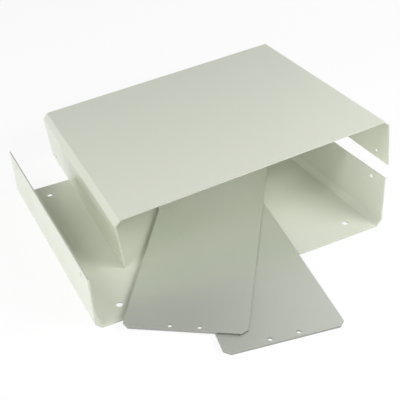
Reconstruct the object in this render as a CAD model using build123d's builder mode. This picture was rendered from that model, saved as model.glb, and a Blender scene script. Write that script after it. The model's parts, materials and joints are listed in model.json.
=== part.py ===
from build123d import *
from math import asin, atan2, cos, degrees, hypot, radians, sin, sqrt, tan
import os

# A two-shell sheet metal instrument case, lying open: a base tray, a cover and two end panels.
# Millimetres, +Z up. The origin is the middle of the tray's underside, +X runs across the case
# and +Y from its front to its back.

# Shells: each is one folded sheet and half of the closed case
case_width = 220.0
case_depth = 180.0
shell_height = 40.0
sheet = 1.0
facet_leg = 4.5
bend_radius = 1.0

# Holes in the shells
foot_hole = 4.5
foot_hole_from_side = 21.5
foot_hole_from_end = 14.5
wall_hole = 3.0
wall_hole_from_end = 15.0
wall_hole_from_edge = 6.0

# End panels: flat plates that drop inside the ends of the closed case
panel_thickness = 1.5
panel_clearance = 0.1
panel_hole = 3.0
panel_hole_pitch = 18.5
panel_hole_from_end = 3.75

# How the loose pieces lie in and on the tray
rear_panel_overhang = 60.25
rear_panel_turn = 10.3
rear_panel_wall_gap = 45.1
front_panel_overhang = 8.85
front_panel_left_gap = 12.8
front_panel_wall_gap = 17.2
cover_setback = 47.25
cover_panel_gap = 13.6
cover_turn = 1.77
cover_lift = 18.5

# Worked out from the sizes above
half_width = case_width / 2
half_depth = case_depth / 2
front_edge = -half_depth
left_wall_face = sheet - half_width
right_wall_face = half_width - sheet
foot_hole_pitch_x = case_width - 2 * foot_hole_from_side
foot_hole_pitch_y = case_depth - 2 * foot_hole_from_end
wall_hole_pitch = case_depth - 2 * wall_hole_from_end
panel_inset = sheet + panel_clearance
panel_length = case_width - 2 * panel_inset
panel_width = 2 * (shell_height - panel_inset)
panel_corner_cut = facet_leg - panel_inset * (2 - sqrt(2))
panel_hole_pitch_long = panel_length - 2 * panel_hole_from_end

# The rear panel lies on the tray floor, turned, with its far corner short of the right wall
rear_turn = radians(rear_panel_turn)
rear_corner_x = (
    right_wall_face
    - rear_panel_wall_gap
    - panel_width * cos(rear_turn)
    - panel_length * sin(rear_turn)
)
rear_corner_y = front_edge - rear_panel_overhang

# The front panel lies on the rear one and turns until its corners keep their gaps to both walls
front_corner_x = left_wall_face + front_panel_left_gap
front_corner_y = front_edge - front_panel_overhang
front_span = right_wall_face - front_panel_wall_gap - front_corner_x
front_turn = asin(front_span / hypot(panel_length, panel_width)) - atan2(panel_width, panel_length)

# The cover stands with one wall on the tray floor beside the front panel, its other wall raised
cover_y = front_edge + cover_setback
front_panel_edge_x = front_corner_x + (cover_y - front_corner_y) * tan(front_turn)
cover_x = front_panel_edge_x - cover_panel_gap - sheet
cover_tilt = degrees(asin((cover_lift - sheet) / case_width))


def lying_panel_plane(corner_x, corner_y, level, turn):
    # Middle of a panel's lower face, from its near left corner and the turn of its long side
    along = Vector(sin(turn), cos(turn))
    across = Vector(cos(turn), -sin(turn))
    corner = Vector(corner_x, corner_y, level)
    middle = corner + along * (panel_length / 2) + across * (panel_width / 2)
    return Plane(middle, x_dir=along, z_dir=(0, 0, 1))


def shell_section(plane):
    # Flat floor, a 45 degree facet at each side and two upright walls, bent from one sheet
    with BuildSketch(plane) as section:
        with BuildLine():
            FilletPolyline(
                (-half_width, shell_height),
                (-half_width, facet_leg),
                (facet_leg - half_width, 0),
                (half_width - facet_leg, 0),
                (half_width, facet_leg),
                (half_width, shell_height),
                radius=bend_radius + sheet,
            )
            offset(amount=sheet, side=Side.LEFT)
        make_face()
    return section.sketch


def wall_holes(plane):
    # One hole near each end of a wall, close to its free edge
    with BuildSketch(plane) as holes:
        with Locations((0, shell_height - wall_hole_from_edge)):
            with GridLocations(wall_hole_pitch, 0, 2, 1):
                Circle(wall_hole / 2)
    return holes.sketch


# Base tray, open side up
with BuildPart() as base_tray:
    extrude(shell_section(Plane.XZ), amount=half_depth, both=True)
    extrude(wall_holes(Plane.YZ), amount=half_width, both=True, mode=Mode.SUBTRACT)
    with GridLocations(foot_hole_pitch_x, foot_hole_pitch_y, 2, 2):
        Hole(foot_hole / 2)

# Cover, the same folded shell turned over
cover_corner = Location((cover_x, cover_y, sheet), (0, 0, -cover_turn)) * Rotation(0, -cover_tilt, 0)
cover_frame = Plane(cover_corner)
roof_middle = cover_frame.from_local_coords((half_width, half_depth, shell_height))
cover_section_plane = Plane(roof_middle, x_dir=cover_frame.x_dir, z_dir=cover_frame.y_dir)
cover_side_plane = Plane(roof_middle, x_dir=cover_frame.y_dir, z_dir=-cover_frame.x_dir)

with BuildPart() as top_cover:
    extrude(shell_section(cover_section_plane), amount=half_depth, both=True)
    extrude(wall_holes(cover_side_plane), amount=half_width, both=True, mode=Mode.SUBTRACT)


def end_panel_section(plane):
    # Plate with its corners cut to clear the facets of the shells, two holes at each short end
    with BuildSketch(plane) as section:
        plate = Rectangle(panel_length, panel_width)
        chamfer(plate.vertices(), panel_corner_cut)
        with GridLocations(panel_hole_pitch_long, panel_hole_pitch, 2, 2):
            Circle(panel_hole / 2, mode=Mode.SUBTRACT)
    return section.sketch


rear_panel_plane = lying_panel_plane(rear_corner_x, rear_corner_y, sheet, rear_turn)
front_panel_plane = lying_panel_plane(
    front_corner_x, front_corner_y, sheet + panel_thickness, front_turn
)

with BuildPart() as rear_panel:
    extrude(end_panel_section(rear_panel_plane), amount=panel_thickness)

with BuildPart() as front_panel:
    extrude(end_panel_section(front_panel_plane), amount=panel_thickness)

os.makedirs("parts", exist_ok=True)

base_tray.part.label = "base_tray"
export_step(base_tray.part, "parts/base_tray.step")

top_cover.part.label = "top_cover"
export_step(top_cover.part, "parts/top_cover.step")

front_panel.part.label = "front_panel"
export_step(front_panel.part, "parts/front_panel.step")

rear_panel.part.label = "rear_panel"
export_step(rear_panel.part, "parts/rear_panel.step")
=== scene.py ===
import bpy
import json
from math import asin, cos, pi, radians, sin, sqrt, tan
from mathutils import Matrix, Vector

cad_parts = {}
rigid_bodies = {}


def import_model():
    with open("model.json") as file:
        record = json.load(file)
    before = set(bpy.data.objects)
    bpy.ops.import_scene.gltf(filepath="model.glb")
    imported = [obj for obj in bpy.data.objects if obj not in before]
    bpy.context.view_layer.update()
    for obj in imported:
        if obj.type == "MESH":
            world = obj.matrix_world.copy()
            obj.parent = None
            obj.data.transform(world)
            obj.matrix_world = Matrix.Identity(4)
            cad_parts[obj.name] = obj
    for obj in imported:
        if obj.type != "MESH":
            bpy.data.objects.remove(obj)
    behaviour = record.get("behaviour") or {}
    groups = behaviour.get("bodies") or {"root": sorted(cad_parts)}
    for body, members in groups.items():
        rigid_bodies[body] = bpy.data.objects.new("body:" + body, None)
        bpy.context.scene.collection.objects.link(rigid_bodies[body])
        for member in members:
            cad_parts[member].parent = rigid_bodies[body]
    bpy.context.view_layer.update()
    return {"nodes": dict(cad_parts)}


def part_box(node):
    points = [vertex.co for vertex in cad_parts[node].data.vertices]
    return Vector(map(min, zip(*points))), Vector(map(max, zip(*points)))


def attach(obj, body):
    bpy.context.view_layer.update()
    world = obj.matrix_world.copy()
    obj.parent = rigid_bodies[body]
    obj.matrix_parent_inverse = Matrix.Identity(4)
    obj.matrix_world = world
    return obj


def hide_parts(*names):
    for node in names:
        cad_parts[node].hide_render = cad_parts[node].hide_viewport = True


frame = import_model()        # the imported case, in metres
print("frame loaded:", ", ".join(sorted(frame["nodes"])))


# Edit mode helpers

facing = {
    "toward": 0.7,           # share of a face's normal along an axis, from here up it faces that way
    "across": 0.3,           # and up to here it lies along the axis
    "sameSpot": 0.00001,     # places closer than this are one
}


def near(first, second):
    return abs(first - second) < facing["sameSpot"]


def clearSelection():
    if bpy.context.object and bpy.context.object.mode != "OBJECT":
        bpy.ops.object.mode_set(mode="OBJECT")
    bpy.ops.object.select_all(action="DESELECT")


def pickPiece(piece):
    clearSelection()
    piece.select_set(True)
    bpy.context.view_layer.objects.active = piece


def pickEdges(piece, test):
    # into edit mode with only the edges that pass the test selected
    bpy.ops.object.mode_set(mode="OBJECT")
    bpy.context.tool_settings.mesh_select_mode = (False, True, False)
    mesh = piece.data
    for items in (mesh.vertices, mesh.edges, mesh.polygons):
        items.foreach_set("select", [False] * len(items))
    for edge in mesh.edges:
        ends = [mesh.vertices[i].co for i in edge.vertices]
        edge.select = test(*ends)
    bpy.ops.object.mode_set(mode="EDIT")


def applyModifier(piece, kind, **values):
    pickPiece(piece)
    modifier = piece.modifiers.new(kind.lower(), kind)
    for key, value in values.items():
        setattr(modifier, key, value)
    bpy.ops.object.modifier_apply(modifier=modifier.name)


def addSheet(name, wide, deep):
    # a flat blank in the middle of the world
    clearSelection()
    bpy.ops.mesh.primitive_plane_add(size=1, location=(0, 0, 0))
    piece = bpy.context.object
    piece.name = name
    piece.scale = (wide, deep, 1)
    bpy.ops.object.transform_apply(location=False, rotation=False, scale=True)
    return piece


drilling = {
    "sides": 40,
    "throughWall": 0.02,     # bit length for one sheet
}


def drill(piece, spots, diameter, length, turn=(0, 0, 0)):
    clearSelection()
    for spot in spots:
        bpy.ops.mesh.primitive_cylinder_add(
            vertices=drilling["sides"], radius=diameter / 2, depth=length, location=spot, rotation=turn
        )
        bpy.context.object.name = "drillBit"
    for bit in bpy.data.objects:
        bit.select_set(bit.name.startswith("drillBit"))
    bpy.ops.object.join()
    bits = bpy.context.object
    applyModifier(piece, "BOOLEAN", operation="DIFFERENCE", solver="EXACT", object=bits)
    bpy.data.objects.remove(bits, do_unlink=True)


softening = {
    "cutAngle": 50,          # degrees, sharper edges get a small round
    "smoothAngle": 40,       # degrees, shallower ones only shade smooth
    "flatWeight": 100,       # large flats keep their own shading
}


def softenEdges(piece, width, steps):
    # cut edges and hole rims get a small round, flats stay flat
    cutAngle = radians(softening["cutAngle"])
    applyModifier(
        piece, "BEVEL", width=width, segments=steps, limit_method="ANGLE", angle_limit=cutAngle
    )
    bpy.ops.object.shade_smooth_by_angle(angle=radians(softening["smoothAngle"]))
    applyModifier(
        piece, "WEIGHTED_NORMAL", mode="FACE_AREA", weight=softening["flatWeight"], keep_sharp=True
    )


def markFaces(piece, test):
    # faces that get the piece's second finish
    for face in piece.data.polygons:
        face.material_index = 1 if test(face.center, face.normal) else 0


def copyPiece(piece, name):
    # a second piece of the same cut, with its own mesh
    pickPiece(piece)
    bpy.ops.object.duplicate(linked=False)
    copy = bpy.context.object
    copy.name = copy.data.name = name
    return copy


def boxError(piece, node):
    # the largest difference between the piece's box and its node's, in millimetres
    error = 0
    for axis, (low, high) in enumerate(zip(*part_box(node))):
        places = [vertex.co[axis] for vertex in piece.data.vertices]
        error = max(error, abs(min(places) - low), abs(max(places) - high))
    return error * 1000


def layPiece(piece, matrix, node):
    # the place goes into the mesh, then the piece stands for its node
    pickPiece(piece)
    piece.matrix_world = matrix
    bpy.ops.object.transform_apply(location=True, rotation=True, scale=True)
    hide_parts(node)
    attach(piece, "root")
    faces = len(piece.data.polygons)
    print(f"{piece.name}: {faces} faces, box within {boxError(piece, node):.2f} mm of {node}")


# Folded shells

shell = {
    "gauge": 0.001,
    "facetLeg": 0.0045,      # the flat at each corner takes this much of the floor and of the wall
    "bendRadius": 0.002,     # outside
    "bendSteps": 6,
    "edgeRound": 0.00015,    # paint rounds the cut edges
    "edgeSteps": 3,
    "wallHole": 0.003,
    "wallHoleFromEnd": 0.015,
    "wallHoleFromEdge": 0.006,
}

trayLow, trayHigh = (Vector(corner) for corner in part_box("base_tray"))
shellWidth, shellDepth, shellHeight = trayHigh - trayLow


def foldShell(name):
    # floor down, walls up, in the middle of the world
    leg = shell["facetLeg"]
    flat = shellWidth - 2 * leg
    halfBend = pi / 4        # from the floor to the facet, and again to the wall
    piece = addSheet(name, flat, shellDepth)
    for side in (-1, 1):
        edgeX = side * flat / 2
        pickEdges(piece, lambda a, b: near(a.x, edgeX) and near(b.x, edgeX))
        bpy.ops.mesh.extrude_region_move(TRANSFORM_OT_translate={"value": (side * leg, 0, leg)})
        bpy.ops.mesh.extrude_region_move(TRANSFORM_OT_translate={"value": (0, 0, shellHeight - leg)})
    # the lengthwise edges below the rims are the fold lines
    pickEdges(piece, lambda a, b: near(a.x, b.x) and near(a.z, b.z) and a.z < shellHeight / 2)
    bpy.ops.mesh.bevel(
        offset_type="OFFSET",
        offset=shell["bendRadius"] * tan(halfBend / 2),
        segments=shell["bendSteps"],
        affect="EDGES",
    )
    bpy.ops.mesh.select_all(action="SELECT")
    bpy.ops.mesh.normals_make_consistent(inside=False)
    bpy.ops.object.mode_set(mode="OBJECT")
    floorFace = max(piece.data.polygons, key=lambda face: face.area)
    if floorFace.normal.z < 0:
        bpy.ops.object.mode_set(mode="EDIT")
        bpy.ops.mesh.flip_normals()
    applyModifier(piece, "SOLIDIFY", thickness=shell["gauge"], offset=1, use_even_offset=True)
    # wall holes, one bit through both walls
    holeY = shellDepth / 2 - shell["wallHoleFromEnd"]
    holeZ = shellHeight - shell["wallHoleFromEdge"]
    drill(
        piece,
        [(0, -holeY, holeZ), (0, holeY, holeZ)],
        shell["wallHole"],
        shellWidth + drilling["throughWall"],
        turn=(0, pi / 2, 0),
    )
    return piece


def isCutEdge(center, normal):
    # the ends of the sheet, the top of both walls and the inside of the holes
    margin = 2 * shell["edgeRound"]
    if abs(center.y) > shellDepth / 2 - margin:
        return abs(normal.y) > facing["toward"]
    if center.z > shellHeight - margin:
        return normal.z > facing["toward"]
    # the hole walls take the darker edge finish, which there is painted shade
    inFloor = 0 < center.z < shell["gauge"]
    inWall = center.z > shellHeight / 2 and abs(center.x) > shellWidth / 2 - shell["gauge"]
    holeInFloor = inFloor and abs(normal.z) < facing["across"]
    holeInWall = inWall and abs(normal.x) < facing["across"]
    return holeInFloor or holeInWall


# Base tray, open side up
tray = {
    "footHole": 0.0045,
    "footHoleFromSide": 0.0215,
    "footHoleFromEnd": 0.0145,
}

trayShell = foldShell("trayShell")
coverShell = copyPiece(trayShell, "coverShell")
footX = shellWidth / 2 - tray["footHoleFromSide"]
footY = shellDepth / 2 - tray["footHoleFromEnd"]
drill(
    trayShell,
    [(x, y, 0) for x in (-footX, footX) for y in (-footY, footY)],
    tray["footHole"],
    drilling["throughWall"],
)
softenEdges(trayShell, shell["edgeRound"], shell["edgeSteps"])
# cut edges and hole walls get the darker edge finish; inside the holes it is painted shade
markFaces(trayShell, isCutEdge)
trayMiddle = (trayLow + trayHigh) / 2
layPiece(trayShell, Matrix.Translation((trayMiddle.x, trayMiddle.y, trayLow.z)), "base_tray")

# Cover, the same shell turned over, one wall on the tray floor and the other raised
cover = {
    "footX": -0.071925,      # outside of the standing wall, at its front end
    "setback": 0.04725,      # its front end behind the tray's
    "turn": 1.77,            # degrees, clockwise seen from above
    "lift": 0.0185,          # the raised wall's foot above the table
}

softenEdges(coverShell, shell["edgeRound"], shell["edgeSteps"])
# the same darker edge finish, painted shade inside the holes
markFaces(coverShell, isCutEdge)
tilt = asin((cover["lift"] - shell["gauge"]) / shellWidth)
standing = (
    Matrix.Translation((cover["footX"], trayLow.y + cover["setback"], shell["gauge"]))
    @ Matrix.Rotation(radians(-cover["turn"]), 4, "Z")
    @ Matrix.Rotation(-tilt, 4, "Y")
)
turnedOver = (
    Matrix.Translation((shellWidth / 2, shellDepth / 2, shellHeight))
    @ Matrix.Rotation(pi, 4, "Y")
)
layPiece(coverShell, standing @ turnedOver, "top_cover")


# End panels

panel = {
    "inset": 0.0011,         # shell gauge and a little clearance, all round
    "hole": 0.003,
    "holePitch": 0.0185,
    "holeFromEnd": 0.00375,
    "edgeRound": 0.00012,
    "edgeSteps": 2,
    "turns": {"front_panel": 34.7205, "rear_panel": 10.3},   # degrees, clockwise seen from above
}


def cutPanel(name, thickness):
    # long side along Y, lower face on the ground
    length = shellWidth - 2 * panel["inset"]
    width = 2 * (shellHeight - panel["inset"])
    cornerCut = shell["facetLeg"] - panel["inset"] * (2 - sqrt(2))   # keeps clear of the facets
    piece = addSheet(name, width, length)
    bpy.ops.object.mode_set(mode="EDIT")
    bpy.ops.mesh.select_all(action="SELECT")
    bpy.ops.mesh.bevel(offset_type="OFFSET", offset=cornerCut, segments=1, affect="VERTICES")
    applyModifier(piece, "SOLIDIFY", thickness=thickness, offset=1)
    holeX = panel["holePitch"] / 2
    holeY = length / 2 - panel["holeFromEnd"]
    drill(
        piece,
        [(x, y, 0) for x in (-holeX, holeX) for y in (-holeY, holeY)],
        panel["hole"],
        drilling["throughWall"],
    )
    softenEdges(piece, panel["edgeRound"], panel["edgeSteps"])
    markFaces(piece, lambda center, normal: abs(normal.z) < facing["across"])
    return piece


def layPanel(piece, node):
    low, high = (Vector(corner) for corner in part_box(node))
    place = Matrix.Translation(((low.x + high.x) / 2, (low.y + high.y) / 2, low.z))
    layPiece(piece, place @ Matrix.Rotation(radians(-panel["turns"][node]), 4, "Z"), node)


panelLow, panelHigh = (Vector(corner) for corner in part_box("front_panel"))
frontPlate = cutPanel("frontPlate", panelHigh.z - panelLow.z)
rearPlate = copyPiece(frontPlate, "rearPlate")
layPanel(frontPlate, "front_panel")
layPanel(rearPlate, "rear_panel")
print("pieces modelled")


# Finishes

speckle = {
    "softDetail": 3,
    "fineDetail": 2,
    "usualRange": (0.3, 0.7),    # most of a noise lies between these
}


def newFinish(name):
    finish = bpy.data.materials.new(name)
    finish.use_nodes = True
    nodes = finish.node_tree.nodes
    place = nodes.new("ShaderNodeTexCoord").outputs["Object"]
    return finish, nodes, finish.node_tree.links, nodes["Principled BSDF"], place


def addNoise(nodes, links, vector, scale, detail):
    noise = nodes.new("ShaderNodeTexNoise")
    noise.inputs["Scale"].default_value = scale
    noise.inputs["Detail"].default_value = detail
    links.new(vector, noise.inputs["Vector"])
    return noise.outputs["Fac"]


def varyColor(nodes, links, shader, factor, first, second):
    mix = nodes.new("ShaderNodeMix")
    mix.data_type = "RGBA"
    mix.inputs["A"].default_value = (*first, 1)
    mix.inputs["B"].default_value = (*second, 1)
    links.new(factor, mix.inputs["Factor"])
    links.new(mix.outputs["Result"], shader.inputs["Base Color"])


def varyRoughness(nodes, links, shader, factor, low, high):
    remap = nodes.new("ShaderNodeMapRange")
    remap.inputs["From Min"].default_value = speckle["usualRange"][0]
    remap.inputs["From Max"].default_value = speckle["usualRange"][1]
    remap.inputs["To Min"].default_value = low
    remap.inputs["To Max"].default_value = high
    links.new(factor, remap.inputs["Value"])
    links.new(remap.outputs["Result"], shader.inputs["Roughness"])


def addBump(nodes, links, shader, height, strength, distance):
    bump = nodes.new("ShaderNodeBump")
    bump.inputs["Strength"].default_value = strength
    bump.inputs["Distance"].default_value = distance
    links.new(height, bump.inputs["Height"])
    links.new(bump.outputs["Normal"], shader.inputs["Normal"])


paint = {
    "cream": (0.78, 0.808, 0.70),
    "creamShade": (0.762, 0.79, 0.68),
    "patchScale": 14,        # slow drift of the colour, per metre
    "peelScale": 700,        # orange peel of the sprayed coat
    "peelHeight": 0.00002,
    "peelStrength": 0.08,
    "roughness": (0.29, 0.34),
    "edge": (0.56, 0.585, 0.515),        # thin coat over the cut edges, and painted shade on the hole walls
    "edgeShade": (0.50, 0.525, 0.465),
    "edgeScale": 900,
    "edgeRoughness": (0.4, 0.5),
}


def sprayPaint():
    finish, nodes, links, shader, place = newFinish("creamPaint")
    patches = addNoise(nodes, links, place, paint["patchScale"], speckle["softDetail"])
    varyColor(nodes, links, shader, patches, paint["cream"], paint["creamShade"])
    varyRoughness(nodes, links, shader, patches, *paint["roughness"])
    peel = addNoise(nodes, links, place, paint["peelScale"], speckle["fineDetail"])
    addBump(nodes, links, shader, peel, paint["peelStrength"], paint["peelHeight"])
    return finish


def edgeCoatAndHoleShade():
    # darker than the cream: a thin coat on the cut edges, and painted shade on the hole walls
    finish, nodes, links, shader, place = newFinish("edgeCoatAndHoleShade")
    edgeMottle = addNoise(nodes, links, place, paint["edgeScale"], speckle["softDetail"])
    varyColor(nodes, links, shader, edgeMottle, paint["edge"], paint["edgeShade"])
    varyRoughness(nodes, links, shader, edgeMottle, *paint["edgeRoughness"])
    return finish


satin = {
    "metal": (0.93, 0.965, 0.87),
    "metalShade": (0.91, 0.945, 0.85),
    "metallic": 0.66,        # satin sheet, two parts mirror to one part matt
    "patchScale": 20,
    "grainScale": (2600, 60, 2600),      # fine rolled grain along the plate
    "grainHeight": 0.000008,
    "grainStrength": 0.1,
    "roughness": (0.30, 0.38),
}


def satinSheet(name, turn):
    finish, nodes, links, shader, place = newFinish(name)
    shader.inputs["Metallic"].default_value = satin["metallic"]
    patches = addNoise(nodes, links, place, satin["patchScale"], speckle["softDetail"])
    varyColor(nodes, links, shader, patches, satin["metal"], satin["metalShade"])
    grainSpace = nodes.new("ShaderNodeMapping")
    grainSpace.vector_type = "TEXTURE"
    grainSpace.inputs["Rotation"].default_value = (0, 0, radians(-turn))
    grainSpace.inputs["Scale"].default_value = [1 / scale for scale in satin["grainScale"]]
    links.new(place, grainSpace.inputs["Vector"])
    # the mapping already holds the grain's scale
    grain = addNoise(nodes, links, grainSpace.outputs["Vector"], 1, speckle["fineDetail"])
    varyRoughness(nodes, links, shader, grain, *satin["roughness"])
    addBump(nodes, links, shader, grain, satin["grainStrength"], satin["grainHeight"])
    return finish


shear = {
    "bright": (0.42, 0.435, 0.405),
    "dull": (0.34, 0.355, 0.33),
    "metallic": 1,
    "tearScale": 1800,       # torn look of a sheared edge
    "roughness": (0.3, 0.45),
}


def shearedEdge():
    finish, nodes, links, shader, place = newFinish("shearedEdge")
    shader.inputs["Metallic"].default_value = shear["metallic"]
    tear = addNoise(nodes, links, place, shear["tearScale"], speckle["softDetail"])
    varyColor(nodes, links, shader, tear, shear["bright"], shear["dull"])
    varyRoughness(nodes, links, shader, tear, *shear["roughness"])
    return finish


creamPaint = sprayPaint()
creamEdgeAndHoleShade = edgeCoatAndHoleShade()
for piece in (trayShell, coverShell):
    piece.data.materials.append(creamPaint)
    piece.data.materials.append(creamEdgeAndHoleShade)
plateEdge = shearedEdge()
for piece, node in ((frontPlate, "front_panel"), (rearPlate, "rear_panel")):
    piece.data.materials.append(satinSheet(piece.name + "Satin", panel["turns"][node]))
    piece.data.materials.append(plateEdge)
print("finishes on")


# Table, light and camera

table = {
    "size": 8,
    "color": (0.94, 0.94, 0.94),         # what it throws back on the case
    "white": 0.87,                       # what the camera and reflections see
    "shadowColor": (0.14, 0.14, 0.14),   # how much of the shadow shows on it
    "drop": 0.0001,                      # just clear of the tray's underside
}


def layTable():
    clearSelection()
    bpy.ops.mesh.primitive_plane_add(size=table["size"], location=(0, 0, -table["drop"]))
    plane = bpy.context.object
    plane.name = "table"
    top = bpy.data.materials.new("whiteTable")
    top.use_nodes = True
    nodes, links = top.node_tree.nodes, top.node_tree.links
    nodes.clear()
    matt = nodes.new("ShaderNodeBsdfDiffuse")
    matt.inputs["Color"].default_value = (*table["color"], 1)
    white = nodes.new("ShaderNodeEmission")
    white.inputs["Strength"].default_value = table["white"]
    shadow = nodes.new("ShaderNodeBsdfDiffuse")
    shadow.inputs["Color"].default_value = (*table["shadowColor"], 1)
    seen = nodes.new("ShaderNodeAddShader")
    links.new(white.outputs["Emission"], seen.inputs[0])
    links.new(shadow.outputs["BSDF"], seen.inputs[1])
    # the camera and mirror-like surfaces see white, all else sees a matt table
    path = nodes.new("ShaderNodeLightPath")
    mirrored = nodes.new("ShaderNodeMath")
    mirrored.operation = "MAXIMUM"
    links.new(path.outputs["Is Glossy Ray"], mirrored.inputs[0])
    links.new(path.outputs["Is Transmission Ray"], mirrored.inputs[1])
    direct = nodes.new("ShaderNodeMath")
    direct.operation = "MAXIMUM"
    links.new(path.outputs["Is Camera Ray"], direct.inputs[0])
    links.new(mirrored.outputs["Value"], direct.inputs[1])
    both = nodes.new("ShaderNodeMixShader")
    links.new(direct.outputs["Value"], both.inputs["Fac"])
    links.new(matt.outputs["BSDF"], both.inputs[1])
    links.new(seen.outputs["Shader"], both.inputs[2])
    output = nodes.new("ShaderNodeOutputMaterial")
    links.new(both.outputs["Shader"], output.inputs["Surface"])
    plane.data.materials.append(top)


room = {
    "color": (1, 1, 1),
    "horizon": 1.0,          # white all round, dimmer overhead
    "overhead": 0.11,
    "dimBetween": (0.2, 0.5),            # 0 is level and 1 straight up
    "mirrored": ("backTop",),            # the other lamps leave no hot spots on the paint
    # degrees from the front towards the right, degrees up, metres away, wide, tall, watts
    "lamps": {
        "keyRight": (38, 32, 0.8, 0.5, 0.35, 4.0),
        "frontLow": (-5, 25, 0.8, 0.5, 0.35, 1.0),
        "fillLeft": (-68, 49, 0.75, 0.3, 0.25, 1.4),
        "backLeft": (-120, 13, 1.1, 1.2, 0.3, 3.3),
        "backRight": (124, 15, 1.1, 1.2, 0.3, 2.4),
        "backTop": (124, 38, 1.0, 0.6, 0.5, 0.42),
    },
}


def paintSky():
    world = bpy.data.worlds.new("room")
    bpy.context.scene.world = world
    world.use_nodes = True
    nodes, links = world.node_tree.nodes, world.node_tree.links
    nodes.clear()
    direction = nodes.new("ShaderNodeSeparateXYZ")
    links.new(nodes.new("ShaderNodeTexCoord").outputs["Generated"], direction.inputs["Vector"])
    fall = nodes.new("ShaderNodeMapRange")
    fall.interpolation_type = "SMOOTHSTEP"
    fall.inputs["From Min"].default_value = room["dimBetween"][0]
    fall.inputs["From Max"].default_value = room["dimBetween"][1]
    fall.inputs["To Min"].default_value = room["horizon"]
    fall.inputs["To Max"].default_value = room["overhead"]
    links.new(direction.outputs["Z"], fall.inputs["Value"])
    sky = nodes.new("ShaderNodeBackground")
    sky.inputs["Color"].default_value = (*room["color"], 1)
    links.new(fall.outputs["Result"], sky.inputs["Strength"])
    output = nodes.new("ShaderNodeOutputWorld")
    links.new(sky.outputs["Background"], output.inputs["Surface"])


def hangLamps():
    for name, (around, up, distance, wide, tall, power) in room["lamps"].items():
        turn, lift = radians(around), radians(up)
        away = Vector((sin(turn) * cos(lift), -cos(turn) * cos(lift), sin(lift)))
        bpy.ops.object.light_add(type="AREA", location=away * distance)
        lamp = bpy.context.object
        lamp.name = name
        lamp.rotation_euler = away.to_track_quat("Z", "Y").to_euler()
        lamp.data.shape = "RECTANGLE"
        lamp.data.size = wide
        lamp.data.size_y = tall
        lamp.data.energy = power
        lamp.visible_camera = False
        lamp.visible_glossy = name in room["mirrored"]


camera = {
    "at": (-0.19183, -0.42991, 0.31776),
    "heading": 24.958,       # degrees, clockwise from +Y
    "down": 33.348,          # degrees below level
    "roll": -3.423,
    "focalPixels": 742.56,
    "imagePixels": 400,
    "sensor": 36,            # millimetres
    "clipStart": 0.01,
}


def placeCamera():
    bpy.ops.object.camera_add(location=camera["at"])
    view = bpy.context.object
    view.name = "camera"
    # an unturned camera looks straight down
    aim = (
        Matrix.Rotation(radians(-camera["heading"]), 3, "Z")
        @ Matrix.Rotation(radians(90 - camera["down"]), 3, "X")
        @ Matrix.Rotation(radians(camera["roll"]), 3, "Z")
    )
    view.rotation_euler = aim.to_euler()
    view.data.sensor_width = camera["sensor"]
    view.data.lens = camera["focalPixels"] / camera["imagePixels"] * camera["sensor"]
    view.data.clip_start = camera["clipStart"]
    bpy.context.scene.camera = view


layTable()
paintSky()
hangLamps()
placeCamera()
bpy.context.scene.view_settings.view_transform = "Standard"
print("studio ready")
